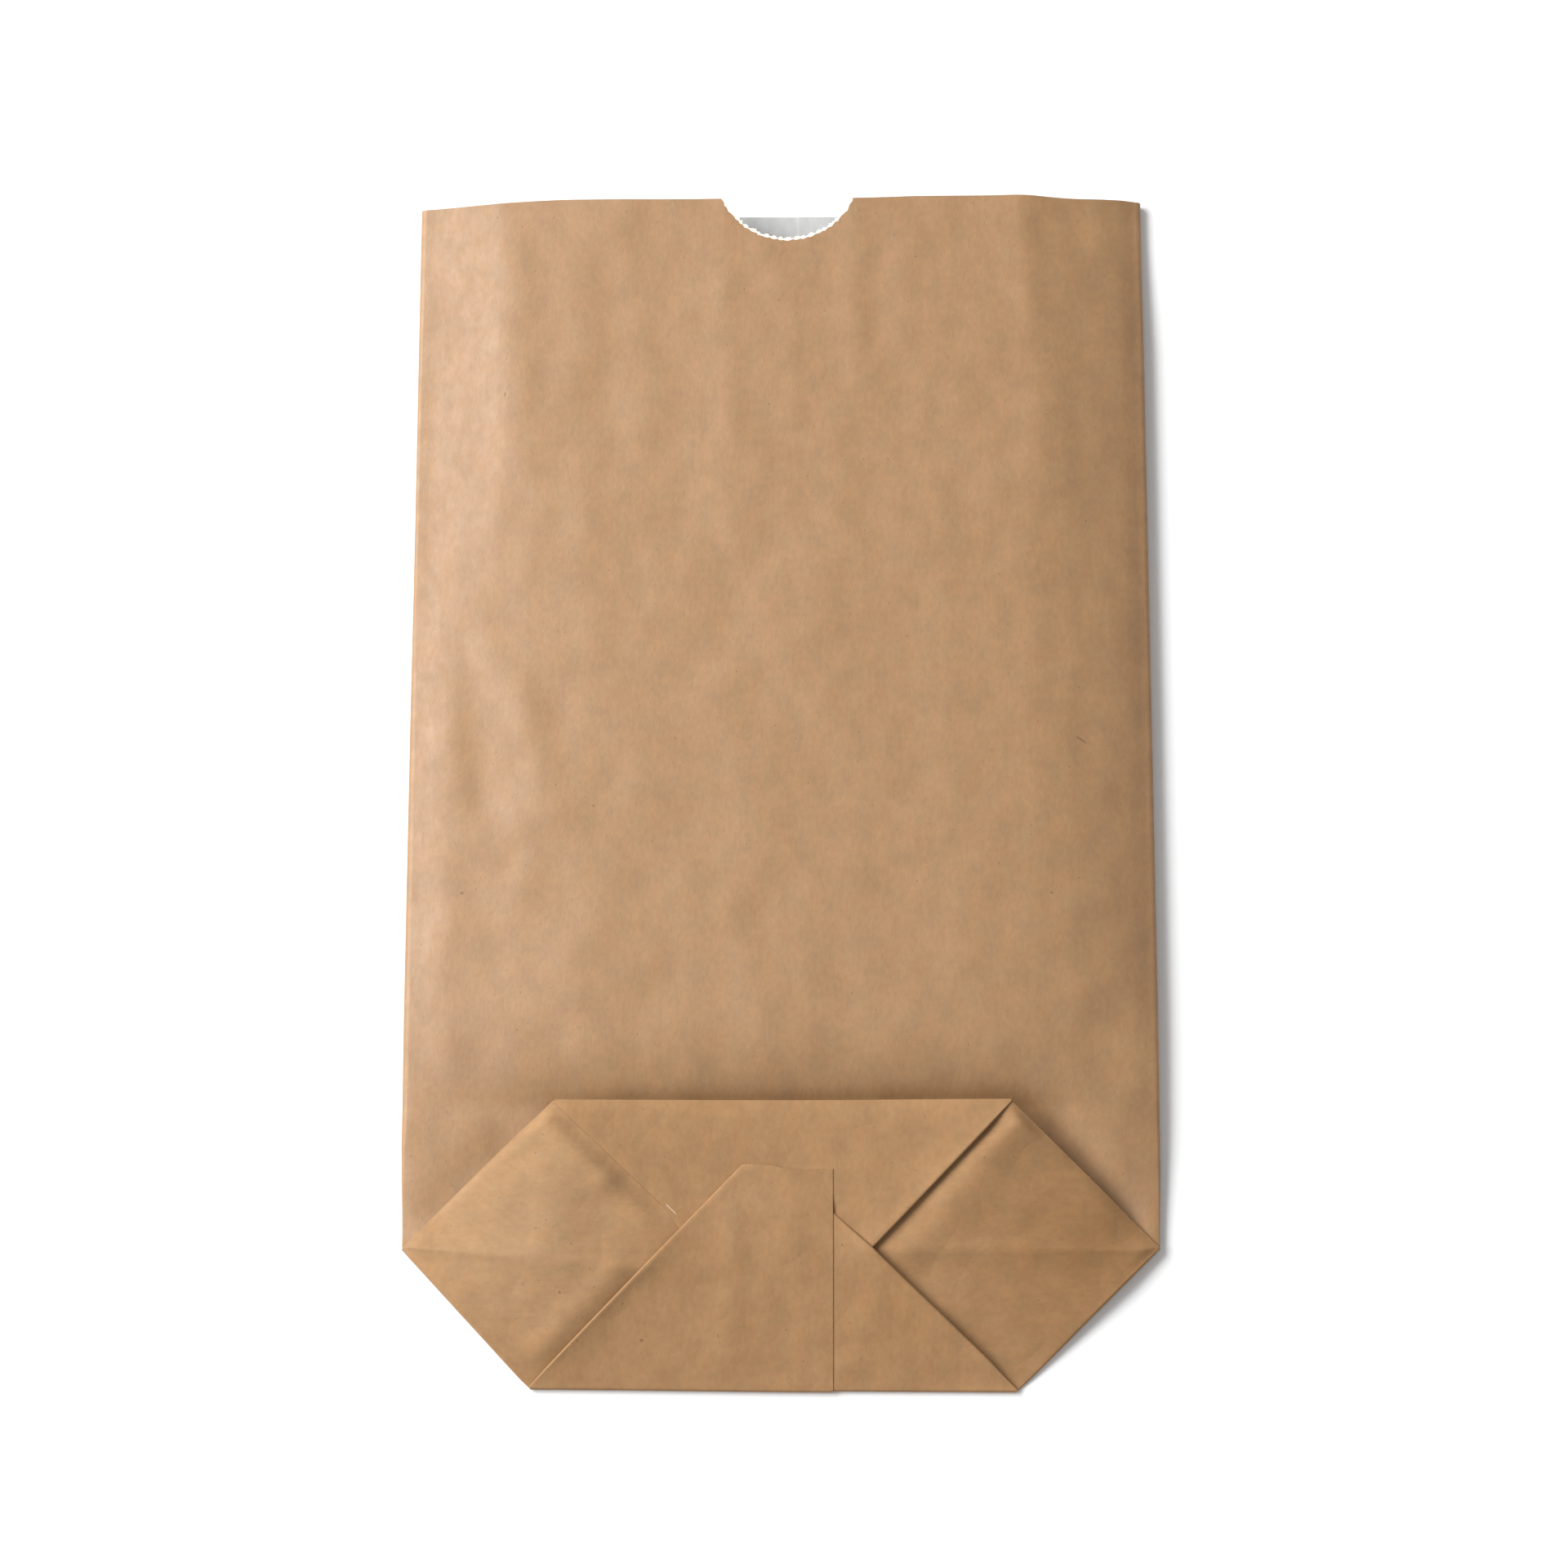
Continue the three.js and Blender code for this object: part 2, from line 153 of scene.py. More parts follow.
# Share of the full belly across the bag, in its upper half and its lower half.
BELLY_ACROSS_UPPER = soft_curve(
    [(-79.4, 0), (-77, 0.07), (-62, 0.62), (-56, 0.71), (-42, 0.80), (0, 0.96), (30, 1), (46, 1),
     (54, 0.985), (62, 0.86), (70, 0.58), (76, 0.30), (79.4, 0)],
    1.2,
)
BELLY_ACROSS_LOWER = soft_curve(
    [(-79.4, 0), (-75, 0.22), (-71, 0.38), (-56, 0.66), (-42, 0.82), (0, 0.97), (30, 1), (44, 1),
     (54, 0.98), (62, 0.87), (70, 0.62), (76, 0.31), (79.4, 0)],
    1.2,
)
BELLY = 8.7
BELLY_AT_CREASE = soft_curve([(-79, 4.8), (-48, 4.8), (-10, 3.7), (79, 3.7)], 4.0)
BELLY_UNDER_BOTTOM = soft_curve(
    [(-79, 5), (-54, 5), (-36, 3.4), (-10, 2.7), (44, 2.7), (60, 5), (79, 8)],
    4.0,
)
BELLY_START_Y = 29.5
BELLY_FULL_Y = soft_curve([(-79, 66), (-58, 64), (-42, 54), (45, 53), (60, 62), (79, 72)], 3.0)
BELLY_PLUNGE = 3.0  # how suddenly the wall drops to the folded bottom
CREASE_FULL_LEFT, CREASE_FULL_RIGHT = 48, 42  # within these the tip crease has its full height
CREASE_ENDS = (10, 50)  # the range of y where the crease's shape passes into the belly's
LOWER_BELLY_ENDS = (120, 155)  # and where the belly's lower half passes into its upper half

# The side folds: how far apart they hold the walls. They close up at the tips of the bottom.
TIP_GAP = 0.35
SIDE_GAP_LEFT, SIDE_GAP_RIGHT = 1.5, 1.8
SIDE_GAP_OPENS = (0, 30)
LOW_BULGE = 0.9  # the left fold opens further low down,
LOW_BULGE_STARTS, LOW_BULGE_ENDS = (10, 30), (110, 140)
MOUTH_BULGE = 0.8  # and near the mouth
MOUTH_BULGE_STARTS = (180, 225)

# The back wall curls up from the floor at its sides.
CURL_START_LEFT, CURL_START_RIGHT = 62, 56
CURL_LEFT, CURL_RIGHT = (0.2, 0.7), (1.5, 1.6)  # its height at the tip crease and up the bag
CURL_GROWS = (0, 60)
CURL_FADES = (195, 228)
CURL_LOST_AT_MOUTH = 0.8

# Ridges and dents in the front wall: start, end, width and height.
FRONT_RIDGES = [
    ((-58.5, 222), (-57.5, 170), 3.2, 0.28),  # along the left flank
    ((-38.0, 216), (-39.0, 182), 3.4, -0.30),
    ((-13.0, 231), (-12.0, 180), 2.4, 0.20),  # ripples that run down from the mouth
    ((2.0, 214), (3.0, 180), 2.4, 0.17),
    ((16.5, 231), (17.0, 190), 2.4, 0.18),
    ((-35.0, 228), (-33.0, 214), 3.0, 0.22),
    ((-27.0, 150), (-29.0, 60), 3.4, 0.12),
    ((53.0, 231), (60.0, 165), 3.4, 0.42),  # down from the right end of the mouth
    ((-69.0, 140), (-62.0, 126), 3.0, 0.25),  # a slanting ridge low on the left
    ((-62.0, 126), (-54.0, 113), 3.0, 0.30),
    ((-54.0, 113), (-50.0, 92), 3.2, 0.30),
    ((-68.0, 122), (-63.0, 94), 3.0, -0.34),
    ((-11.5, 172), (-10.5, 150), 2.8, 0.16),
    ((7.0, 68), (7.0, 42), 3.5, 0.22),
]
FRONT_CREASES = [
    ((-59.5, 79), (-56.0, 85), 1.6, -0.22),  # a small sharp crease below the slanting ridge
    ((-56.0, 85), (-45.0, 88), 1.6, -0.16),
]
# Beside the slanting edges of the folded bottom, the wall sinks by these shares of its height.
FOOT_HOLLOWS = [
    ((51, 26), (76, 2), 4.6, -0.74),
    ((-59, 18), (-74, 3), 5.0, -0.42),
]
FOOT_CREASES = [
    ((-78, 30), (-50, 30), 1.6, -0.12),  # the folded bottom shows through on both sides
    ((54, 30), (78, 30), 1.6, -0.12),
]
RELIEF_FADE = (0, 5)  # relief fades out over this distance from the side folds
FOOT_STARTS, FOOT_ENDS = (0, 8), (24, 38)  # ranges of y beside the folded bottom
FRONT_RELIEF_STARTS = (28, 44)


def back_height(x, y):
    """The outer face of the back wall: flat on the floor, with its sides curling up."""
    start = np.where(x < 0, CURL_START_LEFT, CURL_START_RIGHT)
    share = np.clip((np.abs(x) - start) / (BAG_WIDTH / 2 - start), 0, 1)
    up_the_bag = smoothstep(y, *CURL_GROWS)
    rise = np.where(x < 0, lerp(*CURL_LEFT, up_the_bag), lerp(*CURL_RIGHT, up_the_bag))
    return rise * share**2 * (1 - CURL_LOST_AT_MOUTH * smoothstep(y, *CURL_FADES))


def side_fold_gap(x, y):
    low = LOW_BULGE * smoothstep(y, *LOW_BULGE_STARTS) * (1 - smoothstep(y, *LOW_BULGE_ENDS))
    left = SIDE_GAP_LEFT + low + MOUTH_BULGE * smoothstep(y, *MOUTH_BULGE_STARTS)
    return lerp(TIP_GAP, np.where(x < 0, left, SIDE_GAP_RIGHT), smoothstep(y, *SIDE_GAP_OPENS))


def side_fold_x(sign, y):
    open_x = (BAG_WIDTH - side_fold_gap(sign, y) - PAPER) / 2
    return sign * lerp(SIDE_TIP, open_x, smoothstep(y, *SIDE_GAP_OPENS))


def wall_gap(x, y):
    """How far the front wall stands above the back wall."""
    foot = lerp(BELLY_AT_CREASE(x), BELLY_UNDER_BOTTOM(x), np.clip(y / BELLY_START_Y, 0, 1))
    rise = np.clip((y - BELLY_START_Y) / (BELLY_FULL_Y(x) - BELLY_START_Y), 0, 1)
    full = lerp(foot, BELLY, 1 - (1 - rise) ** BELLY_PLUNGE)
    crease_start = np.where(x < 0, CREASE_FULL_LEFT, CREASE_FULL_RIGHT)
    crease_share = np.clip((SIDE_TIP - np.abs(x)) / (SIDE_TIP - crease_start), 0, 1)
    crease_across = np.sin(crease_share * math.pi / 2)
    upper_half = smoothstep(y, *LOWER_BELLY_ENDS)
    belly_across = lerp(BELLY_ACROSS_LOWER(x), BELLY_ACROSS_UPPER(x), upper_half)
    across = lerp(crease_across, belly_across, smoothstep(y, *CREASE_ENDS))
    fade = smoothstep(SIDE_TIP - np.abs(x), *RELIEF_FADE)
    off_crease = smoothstep(y, *FOOT_STARTS)
    hollow = fade * relief(x, y, FOOT_HOLLOWS) * off_crease * (1 - smoothstep(y, *FOOT_ENDS))
    gap = lerp(side_fold_gap(x, y), full, across) * (1 + hollow)
    above = relief(x, y, FRONT_RIDGES, FRONT_CREASES) * smoothstep(y, *FRONT_RELIEF_STARTS)
    return gap + fade * (above + relief(x, y, [], FOOT_CREASES) * off_crease)


def back_centre(x, y):
    return back_height(x, y) + PAPER / 2


def front_centre(x, y):
    return back_centre(x, y) + wall_gap(x, y)


# ------------------------------------------------------------------ heights of the bottom's plies

BOARD_RISE = 2.0  # the bottom tilts up by this much towards its upper edge,
BOARD_RISE_RIGHT = 4.3  # and by this much at its right end,
LOWER_EDGE_GAP = 0.45  # and comes down to this height above the back at its lower edge
TIP_PLY_GAP = 0.2  # the plies close up to this at the tips
BOARD_GAP = 0.55
TIP_REACH_LEFT, TIP_REACH_RIGHT = 20, 13  # how far from the tips the plies come apart
POCKET_TIP_GAP = 0.35
POCKET_GAP_LEFT, POCKET_GAP_RIGHT = 1.1, 0.8
FOLDED_EDGE_GAP = 0.2
PLY_GAP = 0.19
LOWER_TUCK_GAP = 3 * PLY_GAP
OVERLAP = 1.1 * PAPER  # from the middle of a flap to the middle of the one that lies on it

POCKET_RIDGES = [
    ((-50.5, 26.5), (-37, 13.5), 1.9, 1.0),  # the pockets sink towards the edges of the flaps
    ((-37, 13.5), (-28, 5), 1.6, 0.55),
    ((-38, 9), (-39, 3), 4.2, -0.70),
    ((-60, 6), (-54, 13), 3.0, 0.25),
    ((-50, -21.3), (-35, -6.1), 2.4, 0.85),
    ((-44, 18), (-46, -12), 8, 0.9),
    ((51, 23), (27, -1), 3.0, 0.75),
    ((50.5, 26), (34, 9.5), 1.8, 0.5),
    ((52, 12), (62, 6), 5.0, 0.40),
    ((40, 9), (36, 3), 4.0, 0.30),
    ((38, -8), (30, -20), 4.0, 0.50),
]
POCKET_CREASES = [
    ((-79, 0), (-28, -5), 2.6, 0.80),  # where the sides of the tube were folded
    ((17, -0.8), (79, -0.8), 2.6, 0.75),
    ((52, 27.5), (41, 18), 1.6, 0.60),
    ((-48, 28.6), (-25, 7.2), 1.2, -0.7),
]
UPPER_FLAP_RIDGES = [
    ((-44, 28), (-22, 8), 1.8, 0.10),
    ((-20, 24), (20, 25), 4.5, 0.25),
]
LOWER_FLAP_RIDGES = [
    ((-10, 6), (-10, -1), 2.4, 0.40),
    ((-2, -4), (-3, -10), 2.2, 0.35),
    ((-11, -12), (-10, -22), 2.6, 0.38),
    ((3, 6), (4, -6), 2.4, 0.22),
]
EDGE_ROUND = 0.75  # share of the gap under the pocket that closes along its folded edges
EDGE_ROUND_REACH = 0.7
FLAP_EDGE_LIFT = 0.55  # the right edges of the flaps stand up from the pocket
FLAP_EDGE_REACH = 4.5
FLAP_EDGE_STARTS = (12, 20)  # the range of x where they begin to lift
FLAP_CORNER_REACH = 6
LOWER_LIFT_GAIN = 1.25
UPPER_PEEL = 0.8  # how much further than its tuck the upper flap lifts
LEFT_EDGE_LIFT = 0.28
LEFT_EDGE_REACH = 2.5
LEFT_EDGE_ENDS = (-8, -3)


def edge_lift(x, from_edge, from_corner):
    near = np.exp(-np.maximum(from_edge, 0) * SLANT / FLAP_EDGE_REACH)
    right = smoothstep(x, *FLAP_EDGE_STARTS)
    return FLAP_EDGE_LIFT * near * right * smoothstep(from_corner, 0, FLAP_CORNER_REACH)


def upper_lift(x, y):
    return edge_lift(x, y - upper_flap_edge(x), UPPER_Y - y)


def lower_lift(x, y):
    return LOWER_LIFT_GAIN * edge_lift(x, lower_right_flap_edge(x) - y, y - LOWER_Y)


def left_lift(x, y):
    near = np.exp(-np.maximum(lower_left_flap_edge(x) - y, 0) * SLANT / LEFT_EDGE_REACH)
    left = 1 - smoothstep(x, *LEFT_EDGE_ENDS)
    return LEFT_EDGE_LIFT * near * left * smoothstep(y - LOWER_Y, 0, 4)


def tip_share(x):
    """0 at the tips of the bottom, where its plies are pressed together, and 1 between them."""
    return smoothstep(SIDE_TIP - np.abs(x), 0, np.where(x < 0, TIP_REACH_LEFT, TIP_REACH_RIGHT))


def board_base(x, y):
    gap = lerp(TIP_PLY_GAP, BOARD_GAP, tip_share(x))
    rise = lerp(BOARD_RISE, BOARD_RISE_RIGHT, smoothstep(x, 0, 48))
    return back_centre(x, y) + wall_gap(x, 0 * y) + gap + rise * y / UPPER_Y * tip_share(x)


def pocket_relief(x, y):
    inside = np.minimum(upper_diagonal(x) - y, y - lower_diagonal(x))
    return relief(x, y, POCKET_RIDGES, POCKET_CREASES) * smoothstep(inside, 0, 3)


def board_centre(x, y):
    return board_base(x, y) + np.minimum(pocket_relief(x, y), 0)


def pocket_base(x, y):
    open_gap = lerp(POCKET_GAP_LEFT, POCKET_GAP_RIGHT, smoothstep(x, -40, 40))
    gap = lerp(POCKET_TIP_GAP, open_gap, tip_share(x))
    edge_round = np.exp(-np.maximum(upper_diagonal(x) - y, 0) * SLANT / EDGE_ROUND_REACH)
    gap = gap - EDGE_ROUND * (gap - FOLDED_EDGE_GAP) * edge_round
    above = board_base(x, np.maximum(y, 0)) + gap
    down = tip_share(x) * np.clip(y / LOWER_Y, 0, 1)
    return lerp(above, back_centre(x, y) + LOWER_EDGE_GAP, down)


def pocket_centre(x, y):
    return pocket_base(x, y) + pocket_relief(x, y)


def pocket_bumps(x, y):
    return np.maximum(pocket_relief(x, y), 0)


def upper_tuck_centre(x, y):
    return pocket_base(x, y) + PLY_GAP + pocket_bumps(x, y) + upper_lift(x, y)


def upper_flap_centre(x, y):
    own = relief(x, y, UPPER_FLAP_RIDGES) * smoothstep(UPPER_Y - y, 0, 3)
    return upper_tuck_centre(x, y) + PLY_GAP + own + UPPER_PEEL * upper_lift(x, y)


def lower_tuck_centre(x, y):
    return pocket_base(x, y) + LOWER_TUCK_GAP + pocket_bumps(x, y) + lower_lift(x, y)


def lower_right_flap_centre(x, y):
    return lower_tuck_centre(x, y) + PLY_GAP + lower_lift(x, y)


def lower_left_flap_centre(x, y):
    inside = smoothstep(y - LOWER_Y, 0, 3)
    own = relief(x, y, LOWER_FLAP_RIDGES) * inside + left_lift(x, y)
    on_right_flap = lower_right_flap_centre(x, y) + OVERLAP
    on_upper_flap = upper_flap_centre(x, y) + OVERLAP
    past_right_flap = smoothstep(y - lower_right_flap_edge(x), 0.3, 4)
    return lerp(on_right_flap, on_upper_flap, past_right_flap) + own


# ------------------------------------------------------------------ outlines of the bottom's plies


def upper_diagonal(x):
    corners = [-SIDE_TIP, UPPER_LEFT_X, UPPER_RIGHT_X, SIDE_TIP]
    return np.interp(x, corners, [0, UPPER_Y, UPPER_Y, 0])


def lower_diagonal(x):
    corners = [-SIDE_TIP, LOWER_LEFT_X, LOWER_RIGHT_X, SIDE_TIP]
    return np.interp(x, corners, [0, LOWER_Y, LOWER_RIGHT_Y, 0])


def tip_crease(x):
    return 0 * x


def upper_edge(x):
    return UPPER_Y + 0 * x


def seam_step(x):
    """The left ply of the lengthwise seam reaches a little lower than the right one."""
    return SEAM_STEP * smoothstep(x, LOWER_LEFT_X, SEAM_X)


def left_lower_diagonal(x):
    """The lower outline of the plies that are left of the seam."""
    return lower_diagonal(x) - seam_step(x)


def upper_flap_edge(x):
    fold = UPPER_Y - UPPER_LEFT_SLOPE * (x - UPPER_LEFT_X)
    left = fold - FREE_EDGE_SLOPE * np.maximum(x - FREE_CORNER_X, 0)
    right = UPPER_Y - UPPER_RIGHT_SLOPE * (UPPER_RIGHT_X - x)
    return np.maximum(np.maximum(left, right), UPPER_Y - FLAP_LENGTH)


def lower_left_flap_edge(x):
    diagonal = LOWER_Y + LOWER_LEFT_SLOPE * (x - LOWER_LEFT_X)
    end = LOWER_Y + LOWER_FLAP_LENGTH
    return np.minimum(diagonal, np.interp(x, [TAB_END_X, TAB_FOOT_X], [end + LOWER_TAB, end]))


def lower_right_flap_edge(x):
    diagonal = LOWER_RIGHT_Y + LOWER_RIGHT_SLOPE * (LOWER_RIGHT_X - x)
    return np.minimum(diagonal, LOWER_Y + LOWER_FLAP_LENGTH)


# ------------------------------------------------------------------ plies


class Ply:
    """One thickness of paper: its height, which face is up, and its place on the flat blank."""

    def __init__(self, centre, brown_up, blank):
        self.centre = centre
        self.brown_up = brown_up
        self.blank = blank

    def low(self, x, y):
        return self.centre(x, y) - PAPER / 2

    def high(self, x, y):
        return self.centre(x, y) + PAPER / 2


def seam_run_out(x, y):
    """The right ply of the lengthwise seam lies inside the left one, then comes back level."""
    past = np.clip((x - SEAM_X) / SEAM_RUN_OUT, 0, 1)
    return back_centre(x, y) + SEAM_PLY * (1 - past)


def pocket_blank(x, y):
    side = np.sign(x)
    return side * (SIDE_TIP - y), np.abs(x) - SIDE_TIP


def back_blank(x, y):
    return 2 * SIDE_TIP - x, y


def back_left_blank(x, y):
    return -2 * SIDE_TIP - x, y


FRONT = Ply(front_centre, True, lambda x, y: (x, y))
BACK_LEFT = Ply(back_centre, False, back_left_blank)
BACK_RIGHT = Ply(seam_run_out, False, back_blank)
BOARD = Ply(board_centre, False, lambda x, y: (x, -y))
POCKET = Ply(pocket_centre, True, pocket_blank)
UPPER_TUCK = Ply(upper_tuck_centre, False, lambda x, y: (x, -2 * UPPER_Y - y))
UPPER_FLAP = Ply(upper_flap_centre, True, lambda x, y: (x, y - 2 * UPPER_Y))
LOWER_TUCK = Ply(lower_tuck_centre, False, lambda x, y: (2 * SIDE_TIP - x, y - 100))
LOWER_LEFT_FLAP = Ply(
    lower_left_flap_centre, True, lambda x, y: (-2 * SIDE_TIP - x, 2 * LOWER_Y - y)
)
LOWER_RIGHT_FLAP = Ply(
    lower_right_flap_centre, True, lambda x, y: (2 * SIDE_TIP - x, 2 * LOWER_Y - y)
)


# Cut edges of the flaps where a sliver of the white inside shows: ply, ends and width.
WHITE_LINES = [
    (UPPER_FLAP, (-23.9, 8.5), (-21.9, 6.6), 0.1),
]


# ------------------------------------------------------------------ the sheet


class Sheet:
    """Pieces of paper with a brown and a white face, joined into one closed mesh."""

    BROWN, WHITE, CUT = 0, 1, 2

    def __init__(self):
        self.points = []
        self.count = 0
        self.faces = []
        self.kinds = []
        self.blanks = []
        self.rims = {}

    def add(self, brown, white, blank):
        """Adds a grid of paper from the points of its two faces and its place on the blank."""
        rows, columns = brown.shape[:2]
        first = self.count
        self.points += [brown.reshape(-1, 3), white.reshape(-1, 3)]
        self.count += 2 * rows * columns
        number = np.arange(rows * columns).reshape(rows, columns)
        flat = blank.reshape(-1, 2)
        for kind, offset in ((self.BROWN, 0), (self.WHITE, rows * columns)):
            corners = [number[:-1, :-1], number[:-1, 1:], number[1:, 1:], number[1:, :-1]]
            quads = np.stack(corners, -1).reshape(-1, 4)
            self.take(quads + first + offset, kind, flat[quads])
        for line in (number[0], number[-1], number[:, 0], number[:, -1]):
            ends = np.stack([line[:-1], line[1:]], -1)
            quads = np.concatenate([ends, ends[:, ::-1] + rows * columns], 1)
            self.take(quads + first, self.CUT, flat[quads % (rows * columns)])

    def take(self, quads, kind, blank):
        self.faces.append(quads)
        self.kinds.append(np.full(len(quads), kind))
        self.blanks.append(blank)

    def mesh(self, name, to_metres):
        """Joins points in one place, and drops each cut edge where two pieces of paper meet."""
        points = np.concatenate(self.points)
        keys = np.round(points / WELD).astype(np.int64)
        _, kept, welded = np.unique(keys, axis=0, return_index=True, return_inverse=True)
        faces = welded.reshape(-1)[np.concatenate(self.faces)]
        kinds = np.concatenate(self.kinds)
        blanks = np.concatenate(self.blanks)
        seen = {}
        for index in np.flatnonzero(kinds == self.CUT):
            seen.setdefault(frozenset(faces[index].tolist()), []).append(index)
        dropped = {i for same in seen.values() if len(same) > 1 for i in same}

        loops, uvs, face_kinds = [], [], []
        for index, (face, blank) in enumerate(zip(faces.tolist(), blanks.tolist())):
            if index in dropped:
                continue
            corners = [i for i in range(4) if face[i] != face[i - 1]]
            if len(corners) < 3 or len({face[i] for i in corners}) < len(corners):
                continue
            loops.append([face[i] for i in corners])
            uvs += [blank[i] for i in corners]
            face_kinds.append(kinds[index])

        mesh = bpy.data.meshes.new(name)
        mesh.from_pydata((points[kept] * MM + to_metres).tolist(), [], loops)
        layer = mesh.uv_layers.new(name="blank")
        layer.data.foreach_set("uv", (np.array(uvs) * MM).reshape(-1))
        mesh.polygons.foreach_set("material_index", np.array(face_kinds, dtype=np.int32))
        return mesh


def grid_points(*coordinates):
    """Points on a grid, with an array or a number for each of their coordinates."""
    return np.stack(np.broadcast_arrays(*coordinates), -1)


def add_ply(sheet, ply, x, y):
    high, low = grid_points(x, y, ply.high(x, y)), grid_points(x, y, ply.low(x, y))
    brown, white = (high, low) if ply.brown_up else (low, high)
    sheet.add(brown, white, grid_points(*ply.blank(x, y)))


def add_panel(sheet, ply, columns, low_y, high_y, rows):
    """A ply lying flat: at each column, y runs from low_y(x) to high_y(x)."""
    share = np.linspace(0, 1, rows + 1)[:, None]
    x = np.broadcast_to(columns, (rows + 1, len(columns)))
    y = lerp(low_y(columns)[None, :], high_y(columns)[None, :], share)
    add_ply(sheet, ply, x, y)


def add_fold(sheet, lower, upper, columns, line, outward):
    """Half a tube from the lower ply's rim round to the upper ply's, bulging outward."""
    angle = np.linspace(-math.pi / 2, math.pi / 2, FOLD_STEPS + 1)[:, None]
    shape = (FOLD_STEPS + 1, len(columns))
    x, y = np.broadcast_to(columns, shape), np.broadcast_to(line(columns), shape)
    thickness = upper.high(x, y) - lower.low(x, y)
    squeeze = np.minimum(1, 2 * FOLD_REACH / thickness)  # keeps the bulge within its reach

    def face(bottom, top):
        radius = (top - bottom) / 2
        reach = squeeze * radius * np.cos(angle)
        height = bottom + radius * (1 + np.sin(angle))
        return grid_points(x + outward[0] * reach, y + outward[1] * reach, height)

    outside = face(lower.low(x, y), upper.high(x, y))
    inside = face(lower.high(x, y), upper.low(x, y))
    brown, white = (outside, inside) if upper.brown_up else (inside, outside)
    round_it = FOLD_REACH * (0.5 - angle / math.pi)
    blank = upper.blank(x + outward[0] * round_it, y + outward[1] * round_it)
    sheet.add(brown, white, grid_points(*blank))


# ------------------------------------------------------------------ the tube


# How far the front's cut edge is from MOUTH_Y: the mouth isn't cut quite square.
MOUTH_SKEW = soft_curve(
    [(-79, -0.5), (-62, -0.3), (-48, 0.2), (-12, 0), (15, 0), (30, 0.5), (55, 0.7), (64, 0.3),
     (72, 0.9), (79, 1.4)],
    2.0,
)


def notch_columns():
    reach = math.asin(NOTCH_HALF_WIDTH / NOTCH_RADIUS)
    return NOTCH_X + NOTCH_RADIUS * np.sin(np.linspace(-reach, reach, NOTCH_STEPS + 1))


def all_columns():
    """Places across the bag that the grids of all the plies share, so that their rims meet."""
    notch = notch_columns()
    corners = [UPPER_LEFT_X, UPPER_RIGHT_X, LOWER_LEFT_X, LOWER_RIGHT_X]
    pockets = [-SIDE_TIP, -POCKET_END_X, POCKET_END_X, SIDE_TIP]
    seam = [SEAM_X - SEAM_OVERLAP, SEAM_X, SEAM_X + SEAM_RUN_OUT]
    fixed = np.unique(np.round([*corners, *pockets, *seam, *notch], 6))
    columns = [fixed[0]]
    for left, right in zip(fixed[:-1], fixed[1:]):
        steps = max(1, round((right - left) / COLUMN_STEP))
        columns += np.linspace(left, right, steps + 1)[1:].tolist()
    return np.array(columns)


COLUMNS = all_columns()
# The tube's rows are closest where the wall comes up beside the folded bottom.
TUBE_ROWS = np.concatenate([
    np.linspace(0, 26, 12)[:-1],
    np.linspace(26, 50, 18)[:-1],
    np.linspace(50, 150, 40)[:-1],
    np.linspace(150, MOUTH_Y, 44),
])


def columns_between(left, right):
    return COLUMNS[(COLUMNS >= left - SAME_COLUMN) & (COLUMNS <= right + SAME_COLUMN)]


def mouth_line(x):
    """The cut edge of the front wall, with the thumb notch."""
    inside = np.clip(NOTCH_RADIUS**2 - (x - NOTCH_X) ** 2, 0, None)
    in_notch = np.abs(x - NOTCH_X) < NOTCH_HALF_WIDTH - SAME_COLUMN
    return np.where(in_notch, NOTCH_Y - np.sqrt(inside), MOUTH_Y + MOUTH_SKEW(x))


def spread_columns(columns, y):
    """The tube's columns at each row: the outer ones follow the side folds."""
    share = np.clip((np.abs(columns) - SPREAD_FROM) / (SIDE_TIP - SPREAD_FROM), 0, 1)
    edge = np.where(columns < 0, side_fold_x(-1, y), side_fold_x(1, y))
    return np.where(share > 0, lerp(np.sign(columns) * SPREAD_FROM, edge, share), columns)


def add_wall(sheet, ply, columns, rows_y):
    add_ply(sheet, ply, spread_columns(columns[None, :], rows_y), rows_y)


def add_side_fold(sheet, sign, back):
    """The round fold that joins the back wall to the front wall along one side."""
    front_y = front_rows(np.array([sign * SIDE_TIP]))
    back_y = back_rows(np.array([sign * SIDE_TIP]))
    angle = np.linspace(-math.pi / 2, math.pi / 2, FOLD_STEPS + 1)[None, :]
    share = angle / math.pi + 0.5
    x = side_fold_x(sign, front_y)
    back_x = side_fold_x(sign, back_y)

    def face(bottom, top):
        radius = (top - bottom) / 2
        across = lerp(back_x, x, share) + sign * radius * np.cos(angle)
        height = bottom + radius * (1 + np.sin(angle))
        return grid_points(across, lerp(back_y, front_y, share), height)

    outside = face(back.low(back_x, back_y), FRONT.high(x, front_y))
    inside = face(back.high(back_x, back_y), FRONT.low(x, front_y))
    round_it = sign * (SIDE_TIP + (1 - share) * SIDE_FOLD_PAPER)
    sheet.add(outside, inside, grid_points(round_it, front_y))


def front_rows(columns):
    """The front wall's rows, bent near the mouth to end at its cut edge."""
    share = smoothstep(TUBE_ROWS[:, None] / MOUTH_Y, 0.75, 1)
    return TUBE_ROWS[:, None] + share * (mouth_line(columns) - MOUTH_Y)[None, :]


